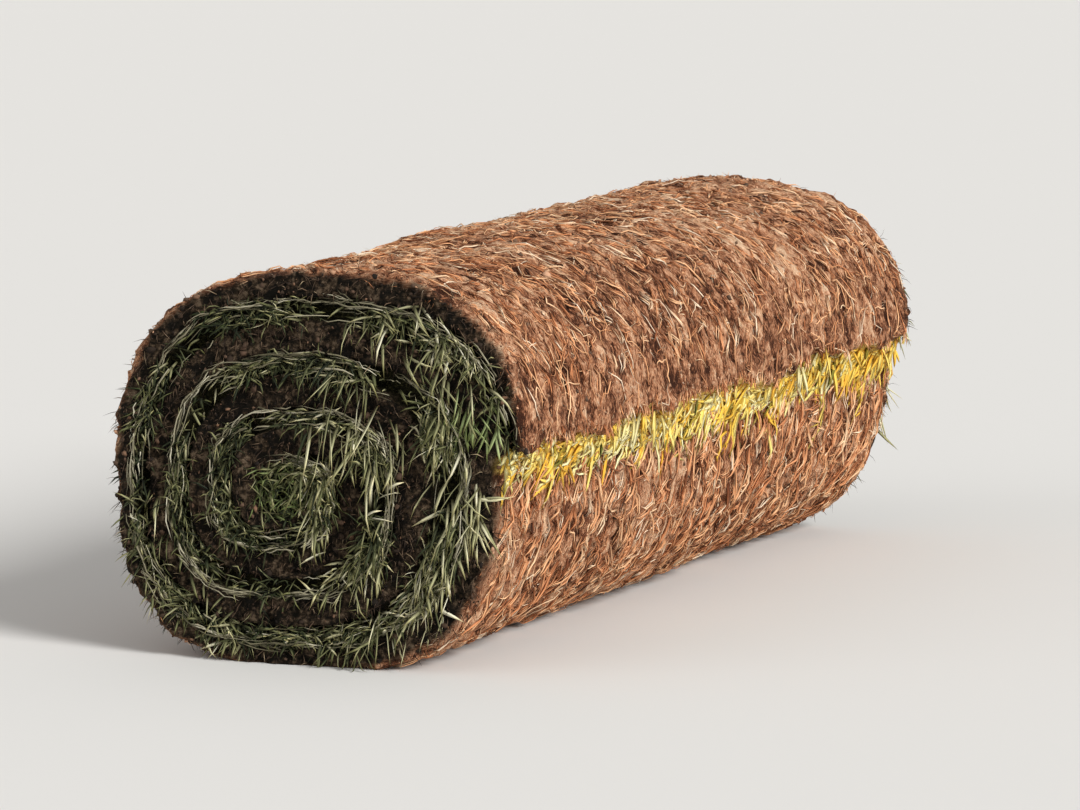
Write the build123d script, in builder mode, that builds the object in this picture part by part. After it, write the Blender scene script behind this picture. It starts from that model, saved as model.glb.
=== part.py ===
"""A roll of turf as it is lifted from the field: one strip of soil and roots with its grass, rolled up
grass side in. The roll lies on its side along Y and rests on Z = 0, with the origin under its middle.
+X is the side on which the free end of the strip comes down, so seen from the front, looking along +Y,
the turns run inwards anticlockwise: over the top, down the left side and back under the lap.

The strip is soft and heavy, so the section isn't round. It is lower than wide, its upper half leans
over to the side with the lap, and it is pressed flat where it lies. The turns are tight on the left and
slack on the right. On both ends the pressed grass stands a little proud of the cut soil, as a spiral."""

from build123d import *

import os
from math import ceil, cos, pi, radians, sin, sqrt

# The cut strip and the roll, in millimetres
strip_width = 610.0
strip_length = 1640.0
soil_thickness = 15.0
roll_width = 244.0
roll_height = 214.0

# The shape of the soft section
base_press = 5.0  # how far the round section is pressed in where it lies
squareness = 2.5  # 2 is an oval, and more is squarer
lean = 7.0  # how far the top leans towards +X
eye_left = 20.0  # the middle of the turns, from the middle of the section
eye_down = 9.0

# The lap, where the free end of the strip lies on the turn below
lap_angle = 10.0  # degrees above +X
lap_step = 12.0  # how far its cut edge stands above the turn below
lap_round = 4.0
lap_rise_power = 3  # the higher, the nearer to the lap the step begins to rise
tuck_turns = 0.16  # the share of a turn in which the next turn dives under the lap
lap_grass = 5.0  # the grass that hangs out from under the cut edge
lap_grass_drop = 25.0

# The cut ends
edge_round = 6.0
grass_proud = 6.0
grass_bevel = 1.5
least_grass = 3.5  # the spiral of grass starts where the turns leave it this much room
eye_turns = 0.3  # the innermost share of a turn, which has no grass of its own

# How finely the formula is drawn and measured, and small steps along it, in turns
points_per_turn = 10
measured_per_turn = 180
short_of_lap = 1e-6  # the outline stops this much before it would step onto the lap
past_the_lap = 0.02  # the grass is looked for from here on
slope_reach = 0.001

half_width = roll_width / 2
half_height = (roll_height + base_press) / 2
mean_radius = sqrt(half_width * half_height)
turns = strip_length / (pi * mean_radius)


def envelope(angle):
    """The section's outside at an angle in degrees, as a squarish oval that leans to the right."""
    across, up = cos(radians(angle)), sin(radians(angle))
    sides = abs(across / half_width) ** squareness + abs(up / half_height) ** squareness
    reach = sides ** (-1 / squareness)
    return Vector(reach * (across + lean * up / half_height), reach * up)


eye = Vector(-eye_left, -eye_down)
step_share = lap_step / (envelope(lap_angle) - eye * 2).length


def eased(share):
    """A share from 0 to 1 that leaves 0 and reaches 1 gently."""
    return share * share * (3 - 2 * share)


def wrap_share(turn):
    """How far out the soil face lies, from 0 at the eye to 1 at the rim, some turns in from the lap.

    The visible turn keeps its size until it nears the lap, so each turn swells against an even spiral,
    and settles back where it dives under the lap."""
    past_lap = turn % 1.0
    even = (turns - turn) / turns
    swell = (1 - step_share * past_lap**lap_rise_power) * turns / (turns - past_lap) - 1
    if turn >= 1:
        swell_at_lap = (1 - step_share) * turns / (turns - 1) - 1
        under_lap = 1 - eased(min(past_lap / tuck_turns, 1.0))
        swell += (swell_at_lap - swell) * under_lap
    return even * (1 + swell * sqrt(even))


def wrap(turn):
    """A point of the soil face about the middle of the section, before it is fitted to the real size."""
    share = wrap_share(turn)
    return envelope(lap_angle + 360 * turn) * share + eye * (1 - share**2)


def sampled(first_turn, last_turn, per_turn=points_per_turn):
    """Turn values from one to the other, evenly spaced."""
    count = ceil((last_turn - first_turn) * per_turn)
    return [first_turn + (last_turn - first_turn) * step / count for step in range(count + 1)]


loose = Polyline(*[wrap(turn) for turn in sampled(0, 1 - short_of_lap, measured_per_turn)]).bounding_box()
stretch_x, stretch_y = roll_width / loose.size.X, 2 * half_height / loose.size.Y


def soil_face(turn):
    """A point of the soil face in the section, some turns in from the lap."""
    point = wrap(turn)
    return Vector(
        (point.X - loose.center().X) * stretch_x,
        (point.Y - loose.min.Y) * stretch_y - base_press,
    )


def soil_slope(turn):
    """The way in which the soil face runs on there, towards the eye."""
    return (soil_face(turn + slope_reach) - soil_face(turn)).normalized()


def grass_face(turn):
    """The point straight through the soil from there, where the grass begins."""
    slope = soil_slope(turn)
    return soil_face(turn) + Vector(-slope.Y, slope.X) * soil_thickness


def grass_room(turn):
    """How much room the turns leave for the grass between them."""
    return (soil_face(turn) - soil_face(turn + 1)).length - soil_thickness


def arcs_through(points, slopes):
    """Draws two arcs from each point to the next, so that the line passes each along its slope."""
    for start, end, start_slope, end_slope in zip(points, points[1:], slopes, slopes[1:]):
        run = end - start
        along = run.dot(start_slope + end_slope)
        bend = 2 * (1 - start_slope.dot(end_slope))
        reach = run.dot(run) / (along + sqrt(along**2 + bend * run.dot(run)))
        meeting = (start + end + (start_slope - end_slope) * reach) / 2
        first_arc = TangentArc(start, meeting, tangent=start_slope)
        TangentArc(meeting, end, tangent=first_arc % 1)


with BuildPart() as turf_roll:
    # The rolled strip, with the cut edge of its free end as a step along the right side
    with BuildSketch(Plane.XZ):
        with BuildLine():
            outline_turns = sampled(0, 1 - short_of_lap)
            outline = [soil_face(turn) for turn in outline_turns]
            arcs_through(outline, [soil_slope(turn) for turn in outline_turns])
            Line(outline[-1], outline[0])
        make_face()
    extrude(amount=strip_width / 2, both=True)
    corner_of_lap = (outline[0].X, 0, outline[0].Y)
    fillet(turf_roll.edges().filter_by(Axis.Y).sort_by_distance(corner_of_lap)[0], lap_round)
    rims = turf_roll.faces().filter_by(Axis.Y).edges()
    fillet(rims.filter_by(GeomType.CIRCLE), edge_round)

    # The fringe of grass that hangs down from under the cut edge of the free end
    under_lap, cut_edge = outline[-1], (outline[0] - outline[-1]).normalized()
    tip_of_fringe = soil_face(1 - lap_grass_drop / (2 * pi * mean_radius))
    with BuildSketch(Plane.XZ):
        with BuildLine():
            Polyline(under_lap, under_lap + cut_edge * lap_grass, tip_of_fringe, close=True)
        make_face()
    extrude(amount=strip_width / 2 - edge_round, both=True)

    # The spiral of pressed grass on the front end, between the soil of one turn and that of the next
    first_grass = next(turn for turn in sampled(past_the_lap, 1) if grass_room(turn) > least_grass)
    grass_turns = sampled(first_grass, turns - 1 - eye_turns)
    outer_side = [grass_face(turn) for turn in grass_turns]
    inner_side = [soil_face(turn + 1) for turn in grass_turns]
    with BuildSketch(Plane.XZ.offset(strip_width / 2)):
        with BuildLine():
            arcs_through(outer_side, [soil_slope(turn) for turn in grass_turns])
            arcs_through(inner_side, [soil_slope(turn + 1) for turn in grass_turns])
            Line(outer_side[0], inner_side[0])
            Line(outer_side[-1], inner_side[-1])
        make_face()
    extrude(amount=grass_proud)
    crest = turf_roll.faces().sort_by(Axis.Y)[0].edges()
    chamfer(crest.filter_by(GeomType.CIRCLE), grass_bevel)

    # The back end is the same, and the roll lies flat on its base
    split(bisect_by=Plane.XZ, keep=Keep.TOP)
    mirror(about=Plane.XZ)
    split(bisect_by=Plane.XY, keep=Keep.TOP)
turf_roll.part.label = "turf_roll"

print(f"{turns:.2f} turns, and {len(turf_roll.solids())} solid")

os.makedirs("parts", exist_ok=True)
export_step(turf_roll.part, "parts/turf_roll.step")
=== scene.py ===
from math import pi, radians, sqrt

import bpy
import numpy as np
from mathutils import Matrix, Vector, kdtree, noise
from mathutils.bvhtree import BVHTree


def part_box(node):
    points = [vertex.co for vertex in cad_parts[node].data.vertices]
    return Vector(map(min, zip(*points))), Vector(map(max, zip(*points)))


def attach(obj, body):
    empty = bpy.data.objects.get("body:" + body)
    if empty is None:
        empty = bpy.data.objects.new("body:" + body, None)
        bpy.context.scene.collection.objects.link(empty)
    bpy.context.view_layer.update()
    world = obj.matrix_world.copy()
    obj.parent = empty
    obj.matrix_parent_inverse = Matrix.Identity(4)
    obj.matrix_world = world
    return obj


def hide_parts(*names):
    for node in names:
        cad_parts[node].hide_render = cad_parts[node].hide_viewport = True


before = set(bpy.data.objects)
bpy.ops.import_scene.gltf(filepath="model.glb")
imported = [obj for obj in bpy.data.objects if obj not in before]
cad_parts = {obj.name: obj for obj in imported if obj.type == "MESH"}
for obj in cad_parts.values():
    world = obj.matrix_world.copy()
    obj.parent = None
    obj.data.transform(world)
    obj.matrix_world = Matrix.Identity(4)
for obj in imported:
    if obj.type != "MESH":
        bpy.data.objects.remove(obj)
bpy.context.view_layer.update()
lowCorner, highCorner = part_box("turf_roll")
print("frame loaded, the roll is", [round(side, 3) for side in highCorner - lowCorner])

# The wound section, the same formula as the roll's own, in metres
roll = {
    "stripLength": 1.64,
    "endFlat": 0.305,  # how far out the cut soil lies on both ends
    "basePress": 0.005,  # how far the section is pressed in where it lies
    "squareness": 2.5,
    "lean": 0.007,
    "eye": (-0.020, -0.009),
    "lapAngle": 10,  # degrees above +X
    "lapStep": 0.012,
    "lapRisePower": 3,
    "tuckTurns": 0.16,
    "eyeTurns": 0.3,
    "eyeTuft": 0.016,  # the radius of the loose grass in the eye
    "soilThick": 0.0165,
    "soilThicker": 0.0035,  # what the slack turns on the right gain, and those on the left lose
    "thickestAt": 15,  # degrees above +X
    "thinEnd": 0.55,  # the share by which the free end thins out, so that its grass shows at the lap
    "thinTurns": 0.15,
    "unevenSoil": [(0.17, 0.045, 5), (0.10, 0.016, 9)],  # how much, how wide, and a seed
}

rollWidth = highCorner.x - lowCorner.x
rollHeight = highCorner.z - lowCorner.z
halfWidth, halfHeight = rollWidth / 2, (rollHeight + roll["basePress"]) / 2
turns = roll["stripLength"] / (pi * sqrt(halfWidth * halfHeight))
eyeShift = np.array(roll["eye"])


def envelope(angle):
    # the outline of the section at an angle, from its middle
    across, up = np.cos(angle), np.sin(angle)
    power = roll["squareness"]
    reach = (np.abs(across / halfWidth) ** power + np.abs(up / halfHeight) ** power) ** (-1 / power)
    return np.stack([reach * (across + roll["lean"] * up / halfHeight), reach * up], -1)


lapShare = roll["lapStep"] / np.linalg.norm(envelope(radians(roll["lapAngle"])) - eyeShift * 2)


def eased(share):
    share = np.clip(share, 0, 1)
    return share * share * (3 - 2 * share)


def looseWrap(turn):
    # the spiral that many turns in from the lap, not yet fitted to the roll's width and height
    pastLap = turn % 1.0
    even = np.maximum((turns - turn) / turns, 0)
    swell = (1 - lapShare * pastLap ** roll["lapRisePower"]) * turns / (turns - pastLap) - 1
    swellAtLap = (1 - lapShare) * turns / (turns - 1) - 1
    underLap = np.where(turn >= 1, 1 - eased(pastLap / roll["tuckTurns"]), 0)
    swell = swell + (swellAtLap - swell) * underLap
    share = (even * (1 + swell * np.sqrt(even)))[..., None]
    return envelope(radians(roll["lapAngle"]) + 2 * pi * turn) * share + eyeShift * (1 - share**2)


justShortOfLap = 0.999999
outerLoop = looseWrap(np.linspace(0, justShortOfLap, 400))
loopLow, loopSize = outerLoop.min(0), np.ptp(outerLoop, axis=0)


def wrapPoint(turn):
    # a point of the soil face, some turns in from the lap, as X and Z
    share = (looseWrap(np.asarray(turn, float)) - loopLow) / loopSize
    return share * [rollWidth, 2 * halfHeight] - [rollWidth / 2, roll["basePress"]]


# What the section is at each small step along the strip: its soil face, the way it runs, the way inwards,
# how far it has run, how much room the turn has, and how thick the soil and the grass in it are
stepTurn = 0.001
oneTurn = int(round(1 / stepTurn))
turnLine = np.arange(0, turns - stepTurn, stepTurn)
faceLine = wrapPoint(turnLine)
runLine = np.append(0, np.cumsum(np.linalg.norm(np.diff(faceLine, axis=0), axis=1)))
wholeRun = runLine[oneTurn]
slopeLine = np.gradient(faceLine, axis=0)
slopeLine /= np.linalg.norm(slopeLine, axis=1)[:, None]
inwardLine = np.stack([-slopeLine[:, 1], slopeLine[:, 0]], 1)
nextTurn = wrapPoint(np.minimum(turnLine + 1, turns))
roomLine = ((nextTurn - faceLine) * inwardLine).sum(1)
slackSide = np.cos(2 * pi * turnLine + radians(roll["lapAngle"] - roll["thickestAt"]))
soilLine = roll["soilThick"] + roll["soilThicker"] * slackSide
soilLine *= 1 - roll["thinEnd"] * (1 - eased(turnLine / roll["thinTurns"]))
uneven = np.ones(len(runLine))
for much, wide, seed in roll["unevenSoil"]:
    uneven += [much * noise.noise((run / wide, 0, seed)) for run in runLine]
soilLine *= uneven
lastGrass = turns - 1 - roll["eyeTurns"]
leastGrass = 0.0005
grassLine = np.clip(roomLine - soilLine, leastGrass, None) * (turnLine < lastGrass)
lapCorner, lapInner = faceLine[0], wrapPoint(1.0)  # the outer and the inner side of the lap's cut edge
eyeSpot = wrapPoint(turns)
faceTree = kdtree.KDTree(len(faceLine))
for number, spot in enumerate(faceLine):
    faceTree.insert((spot[0], spot[1], 0), number)
faceTree.balance()
print("section worked out,", round(turns, 2), "turns")


def bandAt(spots):
    # for spots of the section: the step of the turn they lie in, how deep they lie under its soil face,
    # and how much room the turn has
    found = [faceTree.find((x, z, 0)) for x, z in spots]
    number = np.array([hit[1] for hit in found])
    gap = np.array([hit[2] for hit in found])
    inside = ((spots - faceLine[number]) * inwardLine[number]).sum(1) >= 0
    outermost = (number < oneTurn) & ~inside
    number = np.where(inside | outermost, number, np.clip(number - oneTurn, 0, None))
    room = roomLine[number]
    depth = np.where(inside, gap, np.where(outermost, -gap, room - gap))
    return number, depth, room


def inSpace(flat, y):
    # spots or ways of the section, and their Y
    return np.stack([flat[:, 0], y, flat[:, 1]], 1)


def noiseAt(points, size, seed=0.0):
    # smooth noise of about -1 to 1 whose lumps are that many metres wide
    offset = Vector((seed * 7.31, seed * 3.17, seed * 5.77))
    return np.array([noise.noise(Vector(p) / size + offset) for p in points.tolist()])


def lineNoise(values, size, seed=0.0):
    flat = np.zeros((len(values), 3))
    flat[:, 0] = values
    return noiseAt(flat, size, seed)


def unit(vectors):
    return vectors / np.maximum(np.linalg.norm(vectors, axis=-1, keepdims=True), 1e-9)


# Blades, roots and straws: closed, three-sided slivers along a line of points each, with a ring of three
# points for each number of their taper, and a tip

tintCells = 48  # the tints side by side in a sliver's UV map
lastTint = 0.9999  # the highest one that still lies in the last cell
loosest = ((-0.137, -0.334, 0.0005), (0.137, 0.334, 0.227))  # no blade or root strays past these corners


def pieceFromTriangles(name, points, triangles, places, material):
    mesh = bpy.data.meshes.new(name)
    mesh.vertices.add(len(points))
    mesh.vertices.foreach_set("co", np.ascontiguousarray(points, np.float32).ravel())
    mesh.loops.add(3 * len(triangles))
    mesh.loops.foreach_set("vertex_index", np.ascontiguousarray(triangles, np.int32).ravel())
    mesh.polygons.add(len(triangles))
    mesh.polygons.foreach_set("loop_start", np.arange(0, 3 * len(triangles), 3, dtype=np.int32))
    uv = mesh.uv_layers.new(name="OFBake")
    uv.data.foreach_set("uv", np.ascontiguousarray(places[triangles.ravel()], np.float32).ravel())
    mesh.update(calc_edges=True)
    mesh.validate()
    mesh.materials.append(material)
    piece = bpy.data.objects.new(name, mesh)
    bpy.context.scene.collection.objects.link(piece)
    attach(piece, "root")
    print(name + ",", len(triangles), "triangles")


def offFloor(groups):
    # lifts each group of points as a whole, so that none is pressed flat
    groups[..., 2] += np.maximum(loosest[0][2] - groups[..., 2].min(1), 0)[:, None]
    return groups


def copiesOf(sides, each, count):
    # the triangles of many copies of a shape that has that many points each
    return (np.array(sides)[None] + each * np.arange(count)[:, None, None]).reshape(-1, 3)


def bentSpines(look, roots, aims, bends, lengths):
    # lines that start along their aim and turn towards their bend
    spines, here, rings = [roots], roots, len(look["taper"])
    for ring in range(rings):
        along = unit(aims + bends * ((ring + 0.5) / rings) ** 1.3)
        here = here + along * (lengths / rings)[:, None]
        spines.append(here)
    return np.stack(spines, 1)


def growSlivers(name, look, spines, widths, tints, rng, material, flatTo=(0, 0, 0)):
    # their broad sides face any way, or roughly the way of flatTo
    count, rings = len(spines), len(look["taper"])
    random = rng.normal(size=(count, 3)) + flatTo
    rows = []
    for ring, taper in enumerate(look["taper"]):
        along = unit(spines[:, ring + 1] - spines[:, max(ring - 1, 0)])
        across = unit(np.cross(along, random))
        under = np.cross(along, across)
        wide = (widths * taper)[:, None]
        middle, half = spines[:, ring], across * wide / 2
        rows.append(np.stack([middle - half, middle + half, middle + under * wide * look["keel"]], 1))
    rows.append(spines[:, -1:].copy())
    points = np.concatenate([offFloor(row) for row in rows], 1)
    points = np.clip(points.reshape(-1, 3), *loosest)
    tip, lastRing = 3 * rings, 3 * (rings - 1)
    sides = []
    for ring in range(rings - 1):
        for corner in range(3):
            a, b = 3 * ring + corner, 3 * ring + (corner + 1) % 3
            sides += [(a, b, b + 3), (a, b + 3, a + 3)]
    sides += [(lastRing + corner, lastRing + (corner + 1) % 3, tip) for corner in range(3)]
    sides.append((2, 1, 0))
    cell = np.floor(np.clip(tints, 0, lastTint) * tintCells)[:, None]
    acrossCell = np.array([0.08, 0.92, 0.5] * rings + [0.5])
    upSliver = np.append(np.repeat(np.arange(rings) / rings, 3), 1.0) * 0.98 + 0.01
    upSliver = np.repeat(upSliver[None], count, 0)
    places = np.stack([(cell + acrossCell) / tintCells, upSliver], -1).reshape(-1, 2)
    pieceFromTriangles(name, points, copiesOf(sides, tip + 1, count), places, material)


def nearestOf(spots, centres, squeeze):
    # for each spot, which centre is nearest, with the spots squeezed together along some axes
    tree = kdtree.KDTree(len(centres))
    for number, centre in enumerate(centres * squeeze):
        tree.insert(centre, number)
    tree.balance()
    return np.array([tree.find(spot)[1] for spot in (spots * squeeze).tolist()])


# Materials

def paint(code):
    # a colour code as the even steps of light that the shaders take
    levels = [int(code[at:at + 2], 16) / 255 for at in (0, 2, 4)]
    return [((level + 0.055) / 1.055) ** 2.4 if level > 0.04 else level / 12.92 for level in levels] + [1]


def newFinish(name, roughness, specular):
    material = bpy.data.materials.new(name)
    material.use_nodes = True
    shader = material.node_tree.nodes["Principled BSDF"]
    shader.inputs["Roughness"].default_value = roughness
    shader.inputs["Specular IOR Level"].default_value = specular
    return material, material.node_tree, shader.inputs


def plug(tree, socket, value):
    if isinstance(value, bpy.types.NodeSocket):
        tree.links.new(value, socket)
    else:
        socket.default_value = value


def addNode(tree, kind, inputs, **settings):
    node = tree.nodes.new("ShaderNode" + kind)
    for key, value in settings.items():
        setattr(node, key, value)
    for key, value in inputs.items():
        plug(tree, node.inputs[key], value)
    return node


def ramp(tree, share, stops):
    node = addNode(tree, "ValToRGB", {"Fac": share})
    marks = node.color_ramp.elements
    while len(marks) < len(stops):
        marks.new(0.5)
    for mark, (position, code) in zip(marks, stops):
        mark.position, mark.color = position, paint(code)
    return node.outputs["Color"]


def mixed(tree, share, first, second, way="MIX"):
    node = addNode(tree, "Mix", {}, data_type="RGBA", blend_type=way)
    for at, value in ((0, share), (6, first), (7, second)):
        plug(tree, node.inputs[at], value)
    return node.outputs[2]


def maths(tree, operation, first, second, clamp=False):
    return addNode(tree, "Math", {0: first, 1: second}, operation=operation, use_clamp=clamp).outputs[0]


def shareOf(tree, field, share):
    # how far a field is from its middle, times a share
    return maths(tree, "MULTIPLY", maths(tree, "SUBTRACT", field, 0.5), share)


def blended(tree, parts):
    # adds up fields about their middle, each with its share
    total = 0.5
    for field, share in parts:
        total = maths(tree, "ADD", shareOf(tree, field, share), total)
    return total


def noisy(tree, vector, scale, detail=3.0, rough=0.55, warp=0.0):
    values = {"Vector": vector, "Scale": scale, "Detail": detail, "Roughness": rough, "Distortion": warp}
    return addNode(tree, "TexNoise", values).outputs["Fac"]


def stretched(tree, vector, scale, turn=0.0):
    values = {"Vector": vector, "Scale": scale, "Rotation": (0, 0, radians(turn))}
    return addNode(tree, "Mapping", values).outputs[0]


def ownMap(tree):
    return addNode(tree, "UVMap", {}, uv_map="OFBake").outputs["UV"]


def ownField(tree, name):
    return addNode(tree, "Attribute", {}, attribute_name=name).outputs["Fac"]


soilLook = {
    "roughness": 0.95,
    "specular": 0.12,
    "mapSpan": 0.98,  # metres of skin across the whole UV map
    "skinAt": (0.002, 0.32),  # where the rolled-out skin lies in it, in metres
    "endsAt": 0.735,  # where the two ends lie, beside the skin
    "endsUp": (0.01, 0.30),  # and one above the other
    "strands": ((120, 800, 1), 4),  # how far the noise is drawn out, and turned in degrees
    "fine": ((330, 2300, 1), 12),
    "crossing": ((400, 2100, 1), -24),
    # shares of the strands, ridges (the skin darker in the furrows: painted shade, over the bare soil there),
    # fine and crossing roots, clods, patches and wide patches
    "skinShares": (0.9, 0.6, 0.7, 0.6, 0.8, 0.35, 0.4),
    "cutShares": (1.1, 0.8, -0.35),  # of crumbs, grit and grains
    "bump": (0.9, 0.0022),  # how strong and how deep
    "skin": [(0.30, "3f2418"), (0.42, "804f36"), (0.53, "ba7f5b"), (0.66, "dba47e"), (0.82, "f3caa4")],
    # the cut soil of the ends: its own dark brown, darkened further as painted shade
    "cut": [(0.38, "0f0c06"), (0.50, "261e15"), (0.60, "423527"), (0.74, "6e5d4b")],
    # the bed of the grass, near black: painted shade in the hollows, over dark soil
    "paintedShadeBed": [(0.36, "12110a"), (0.52, "2c2b18"), (0.72, "5e593a")],
    # the dead grass under the lap, brightened to full yellow: painted sunlight, which also fills the gaps
    # between the blades with light
    "lapBedPaintedSun": [(0.34, "a07c34"), (0.50, "eabf5c"), (0.66, "ffe08a")],
}


def soilFinish():
    look = soilLook
    material, tree, sockets = newFinish("rootedSoil", look["roughness"], look["specular"])
    metres = stretched(tree, ownMap(tree), (look["mapSpan"],) * 3)
    place = addNode(tree, "TexCoord", {}).outputs["Object"]

    # the skin: strands of root, and patches of clods
    strands = noisy(tree, stretched(tree, metres, *look["strands"]), 1.0, 3, 0.62, 1.6)
    fine = noisy(tree, stretched(tree, metres, *look["fine"]), 1.0, 2, 0.6, 0.8)
    crossing = noisy(tree, stretched(tree, metres, *look["crossing"]), 1.0, 2, 0.6, 0.8)
    clods = noisy(tree, place, 130, 4, 0.6)
    patches = noisy(tree, place, 30, 2, 0.5)
    wide = noisy(tree, place, 9, 1, 0.5)
    skinFields = (strands, ownField(tree, "ridgesAndFurrowShade"), fine, crossing, clods, patches, wide)
    skinTone = blended(tree, zip(skinFields, look["skinShares"]))
    lapBedPaintedSun = ramp(tree, blended(tree, [(fine, 1.0), (crossing, 1.0)]), look["lapBedPaintedSun"])
    skin = mixed(tree, ownField(tree, "lapBedPaintedSun"), ramp(tree, skinTone, look["skin"]), lapBedPaintedSun)

    # the cut soil, and the bed of the grass between its turns, painted near black as the shade in the hollows
    # behind the grass
    crumbs = noisy(tree, place, 110, 4, 0.6)
    grit = noisy(tree, place, 520, 4, 0.65)
    grains = addNode(tree, "TexVoronoi", {"Vector": place, "Scale": 300.0}).outputs["Distance"]
    # the cut soil, darkened as painted shade on top of its own dark brown
    cut = ramp(tree, blended(tree, zip((crumbs, grit, grains), look["cutShares"])), look["cut"])
    paintedShadeBed = ramp(tree, noisy(tree, place, 340, 4, 0.6, 1.5), look["paintedShadeBed"])
    colour = mixed(tree, ownField(tree, "cutEnd"), skin, cut)
    colour = mixed(tree, ownField(tree, "grassBedPaintedShade"), colour, paintedShadeBed)
    plug(tree, sockets["Base Color"], colour)

    strength, distance = look["bump"]
    height = maths(tree, "ADD", skinTone, maths(tree, "MULTIPLY", grit, 0.8))
    bump = addNode(tree, "Bump", {"Height": height, "Strength": strength, "Distance": distance})
    plug(tree, sockets["Normal"], bump.outputs["Normal"])
    return material


def sliverFinish(name, stops, paintedRootShade, tipShade, roughness=0.6):
    # the tint runs across the UV map, and each sliver from its root up to its tip; the lower part darkens
    # towards the root as painted shade, where slivers lie under each other and meet the soil, and the tip
    # takes a tint of its own
    material, tree, sockets = newFinish(name, roughness, 0.25)
    uv = ownMap(tree)
    parts = addNode(tree, "SeparateXYZ", {"Vector": uv}).outputs
    streak = noisy(tree, stretched(tree, uv, (tintCells * 3.0, 2.5, 1)), 1.0, 2, 0.5)
    tint = maths(tree, "ADD", parts["X"], shareOf(tree, streak, 0.12), True)
    # painted shade: the colour is multiplied darker from the middle down to the root end
    paintedRootShadeAndTip = ramp(tree, parts["Y"], [(0.0, paintedRootShade), (0.55, "ffffff"), (1.0, tipShade)])
    plug(tree, sockets["Base Color"], mixed(tree, 1.0, ramp(tree, tint, stops), paintedRootShadeAndTip, "MULTIPLY"))
    return material


# The soil: the roll's own solid, remeshed finely, with its skin roughened and its grass bands hollowed out

soilBody = {
    "voxel": 0.00266,
    "lumps": [  # name, width and height
        ("broad", 0.15, 0.0165),
        ("clods", 0.028, 0.0040),
        ("knots", 0.010, 0.0036),
        ("grit", 0.0055, 0.0022),
    ],
    "sharpUnder": 0.02,  # lumps narrower than this have sharp creases
    "flatBase": (0.001, 0.018),  # the lumps begin at this height, and are whole that much higher
    "endFrom": 0.292,  # how far out the cut ends begin
    "rimFrom": 0.283,
    "hollow": 0.012,  # how deep the bands of grass lie behind the cut soil
    "crumble": 0.0045,
    "slip": 0.0075,  # how far the turns stand out past each other
    "ragged": 0.0085,  # how uneven the rims and the lap's edge are
    "raggedReach": 0.012,  # how far from the lap's edge that is felt
    "groove": 0.0026,  # how deep the skin is furrowed along the strip
    "lapBedPaintedSun": 0.013,  # how far below the lap dead grass covers the skin
}


def selectOnly(piece):
    bpy.ops.object.select_all(action="DESELECT")
    piece.select_set(True)
    bpy.context.view_layer.objects.active = piece


def readOut(items, field, kind=np.float32, width=1):
    values = np.empty(len(items) * width, kind)
    items.foreach_get(field, values)
    return values.reshape(-1, width) if width > 1 else values


def slipOf(turnValues, side):
    return lineNoise(turnValues, 0.37, 3 if side < 0 else 4) * soilBody["slip"]


def raggedLap(y):
    uneven = lineNoise(y, 0.035, 6) + 0.6 * lineNoise(y, 0.011, 7) + 0.6 * lineNoise(y, 0.005, 8)
    return uneven * soilBody["ragged"]


def furrows(points, number):
    # ridges and furrows of about -1 to 1, drawn out along the strip
    bend = noiseAt(points, 0.04, 21) * 0.006
    drawnOut = np.stack([runLine[number], (points[:, 1] + bend) * 4, np.zeros(len(points))], 1)
    return noiseAt(drawnOut, 0.021, 22) + 0.7 * noiseAt(drawnOut, 0.013, 23)


def inGrassBand(points, number, depth, room):
    wobble = noiseAt(points, 0.012, 14) * 0.0022 + noiseAt(points, 0.005, 15) * 0.001
    pastSoil = eased((depth - soilLine[number] + wobble + 0.0008) / 0.0022)
    share = pastSoil * eased((room - depth - wobble) / 0.002)
    share *= turnLine[number] < lastGrass
    toEye = np.linalg.norm(points[:, [0, 2]] - eyeSpot, axis=1)
    return np.maximum(share, eased((roll["eyeTuft"] - toEye) / 0.003 + wobble * 300))


def remeshedRoll():
    look = soilBody
    body = bpy.data.objects.new("soilBody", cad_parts["turf_roll"].data.copy())
    bpy.context.scene.collection.objects.link(body)
    selectOnly(body)
    bpy.ops.object.mode_set(mode="EDIT")
    bpy.ops.mesh.select_all(action="SELECT")
    bpy.ops.mesh.remove_doubles(threshold=1e-5)
    bpy.ops.object.mode_set(mode="OBJECT")
    remesh = body.modifiers.new("fine", "REMESH")
    remesh.mode, remesh.voxel_size = "VOXEL", look["voxel"]
    bpy.ops.object.modifier_apply(modifier="fine")
    free = body.vertex_groups.new(name="free")  # all but the underside, which stays flat
    above, over = look["flatBase"]
    for vertex in body.data.vertices:
        free.add([vertex.index], float(eased((vertex.co.z - above) / over)), "REPLACE")
    for name, size, strength in look["lumps"]:
        texture = bpy.data.textures.new(name, "CLOUDS")
        texture.noise_scale, texture.noise_depth = size, 2
        texture.noise_type = "HARD_NOISE" if size < look["sharpUnder"] else "SOFT_NOISE"
        push = body.modifiers.new(name, "DISPLACE")
        push.texture, push.texture_coords = texture, "LOCAL"
        push.strength, push.mid_level, push.vertex_group = strength, 0.5, "free"
        bpy.ops.object.modifier_apply(modifier=name)
    return body


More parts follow.
